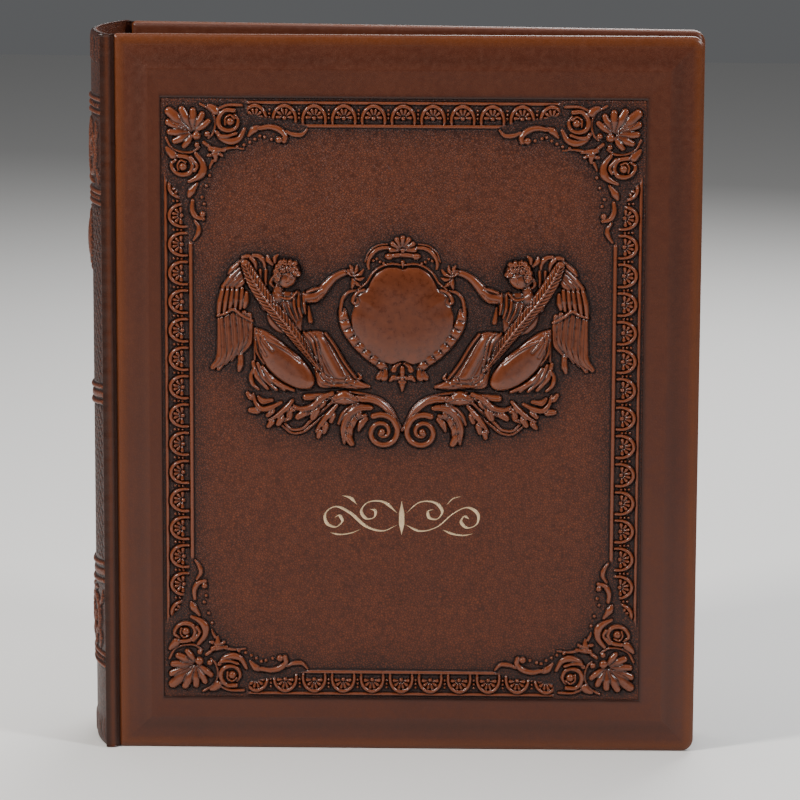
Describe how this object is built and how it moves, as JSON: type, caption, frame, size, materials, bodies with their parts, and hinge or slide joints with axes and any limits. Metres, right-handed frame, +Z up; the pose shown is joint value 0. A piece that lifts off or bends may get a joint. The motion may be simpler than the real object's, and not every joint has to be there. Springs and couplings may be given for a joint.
{
  "type": "stamp album",
  "caption": "Thick leather-bound ring album for stamps, closed and standing on its tail edge, with hinged covers, turning stock leaves and a lever-operated ring mechanism.",
  "frame": {"origin": "middle of the closed album's box, on the surface that it stands on", "axes": "+Z up from tail to head, +X from the spine to the fore edge, +Y from the front cover to the rear cover"},
  "size_m": [0.2711, 0.068, 0.32],
  "materials": {
    "leather": "brown full-grain leather, embossed and burnished, satin",
    "lining_leather": "thin brown lining leather, matt",
    "joint_leather": "brown leather, creased",
    "board": "grey millboard",
    "padding_foam": "dense wadding",
    "leaf_card": "black acid-free card",
    "clear_strip": "clear polyester film",
    "plated_steel": "nickel-plated spring steel",
    "ring_wire": "polished nickel plate",
    "rivet_brass": "brass plated rivets"
  },
  "bodies": {
    "spine": {"spine_leather": "leather", "spine_board": "board", "spine_lining": "lining_leather", "front_joint": "joint_leather", "rear_joint": "joint_leather", "ring_cover_plate": "plated_steel", "plate_rivets": "rivet_brass", "lever_pins": "plated_steel"},
    "front_cover": {"front_leather": "leather", "front_padding": "padding_foam", "front_board": "board", "front_lining": "lining_leather"},
    "rear_cover": {"rear_leather": "leather", "rear_padding": "padding_foam", "rear_board": "board", "rear_lining": "lining_leather"},
    "front_ring_half": {"front_blade": "plated_steel", "front_half_rings": "ring_wire"},
    "rear_ring_half": {"rear_blade": "plated_steel", "rear_half_rings": "ring_wire"},
    "head_lever": {"head_lever": "plated_steel"},
    "tail_lever": {"tail_lever": "plated_steel"},
    "leaf_1": {"leaf_1_card": "leaf_card", "leaf_1_strips": "clear_strip"},
    "leaf_2": {"leaf_2_card": "leaf_card", "leaf_2_strips": "clear_strip"},
    "leaf_3": {"leaf_3_card": "leaf_card", "leaf_3_strips": "clear_strip"},
    "leaf_4": {"leaf_4_card": "leaf_card", "leaf_4_strips": "clear_strip"},
    "leaf_5": {"leaf_5_card": "leaf_card", "leaf_5_strips": "clear_strip"},
    "leaf_6": {"leaf_6_card": "leaf_card", "leaf_6_strips": "clear_strip"},
    "leaf_7": {"leaf_7_card": "leaf_card", "leaf_7_strips": "clear_strip"},
    "leaf_8": {"leaf_8_card": "leaf_card", "leaf_8_strips": "clear_strip"}
  },
  "joints": [
    {"name": "front_cover_hinge", "type": "hinge", "parent": "spine", "child": "front_cover", "pos_m": [-0.1237, -0.0318, 0.16], "axis": [0, 0, -1], "range_deg": [0, 93]},
    {"name": "rear_cover_hinge", "type": "hinge", "parent": "spine", "child": "rear_cover", "pos_m": [-0.1237, 0.0318, 0.16], "axis": [0, 0, 1], "range_deg": [0, 93]},
    {"name": "head_lever_pivot", "type": "hinge", "parent": "spine", "child": "head_lever", "pos_m": [-0.12689, 0, 0.297], "axis": [0, -1, 0], "range_deg": [0, 25]},
    {"name": "tail_lever_pivot", "type": "hinge", "parent": "spine", "child": "tail_lever", "pos_m": [-0.12689, 0, 0.023], "axis": [0, 1, 0], "range_deg": [0, 25]},
    {"name": "front_ring_pivot", "type": "hinge", "parent": "spine", "child": "front_ring_half", "pos_m": [-0.12739, -0.0131, 0.16], "axis": [0, 0, -1], "range_deg": [0, 3.5]},
    {"name": "rear_ring_pivot", "type": "hinge", "parent": "spine", "child": "rear_ring_half", "pos_m": [-0.12739, 0.0131, 0.16], "axis": [0, 0, 1], "range_deg": [0, 3.5]},
    {"name": "leaf_1_turn", "type": "hinge", "parent": "spine", "child": "leaf_1", "pos_m": [-0.10979, 0, 0.16], "axis": [0, 0, -1], "range_deg": [0, 86.5]},
    {"name": "leaf_2_turn", "type": "hinge", "parent": "spine", "child": "leaf_2", "pos_m": [-0.10979, 0, 0.16], "axis": [0, 0, -1], "range_deg": [0, 75.34]},
    {"name": "leaf_3_turn", "type": "hinge", "parent": "spine", "child": "leaf_3", "pos_m": [-0.10979, 0, 0.16], "axis": [0, 0, -1], "range_deg": [0, 64.18]},
    {"name": "leaf_4_turn", "type": "hinge", "parent": "spine", "child": "leaf_4", "pos_m": [-0.10979, 0, 0.16], "axis": [0, 0, -1], "range_deg": [0, 53.02]},
    {"name": "leaf_5_turn", "type": "hinge", "parent": "spine", "child": "leaf_5", "pos_m": [-0.10979, 0, 0.16], "axis": [0, 0, -1], "range_deg": [0, 41.86]},
    {"name": "leaf_6_turn", "type": "hinge", "parent": "spine", "child": "leaf_6", "pos_m": [-0.10979, 0, 0.16], "axis": [0, 0, -1], "range_deg": [0, 30.7]},
    {"name": "leaf_7_turn", "type": "hinge", "parent": "spine", "child": "leaf_7", "pos_m": [-0.10979, 0, 0.16], "axis": [0, 0, -1], "range_deg": [0, 19.54]},
    {"name": "leaf_8_turn", "type": "hinge", "parent": "spine", "child": "leaf_8", "pos_m": [-0.10979, 0, 0.16], "axis": [0, 0, -1], "range_deg": [0, 8.38]}
  ],
  "couplings": [
    {"joint": "tail_lever_pivot", "follows": "head_lever_pivot", "ratio": 1},
    {"joint": "front_ring_pivot", "follows": "head_lever_pivot", "ratio": 0.14},
    {"joint": "rear_ring_pivot", "follows": "head_lever_pivot", "ratio": 0.14},
    {"joint": "leaf_1_turn", "follows": "front_cover_hinge", "ratio": 0.93},
    {"joint": "leaf_2_turn", "follows": "front_cover_hinge", "ratio": 0.81},
    {"joint": "leaf_3_turn", "follows": "front_cover_hinge", "ratio": 0.69},
    {"joint": "leaf_4_turn", "follows": "front_cover_hinge", "ratio": 0.57},
    {"joint": "leaf_5_turn", "follows": "front_cover_hinge", "ratio": 0.45},
    {"joint": "leaf_6_turn", "follows": "front_cover_hinge", "ratio": 0.33},
    {"joint": "leaf_7_turn", "follows": "front_cover_hinge", "ratio": 0.21},
    {"joint": "leaf_8_turn", "follows": "front_cover_hinge", "ratio": 0.09}
  ]
}
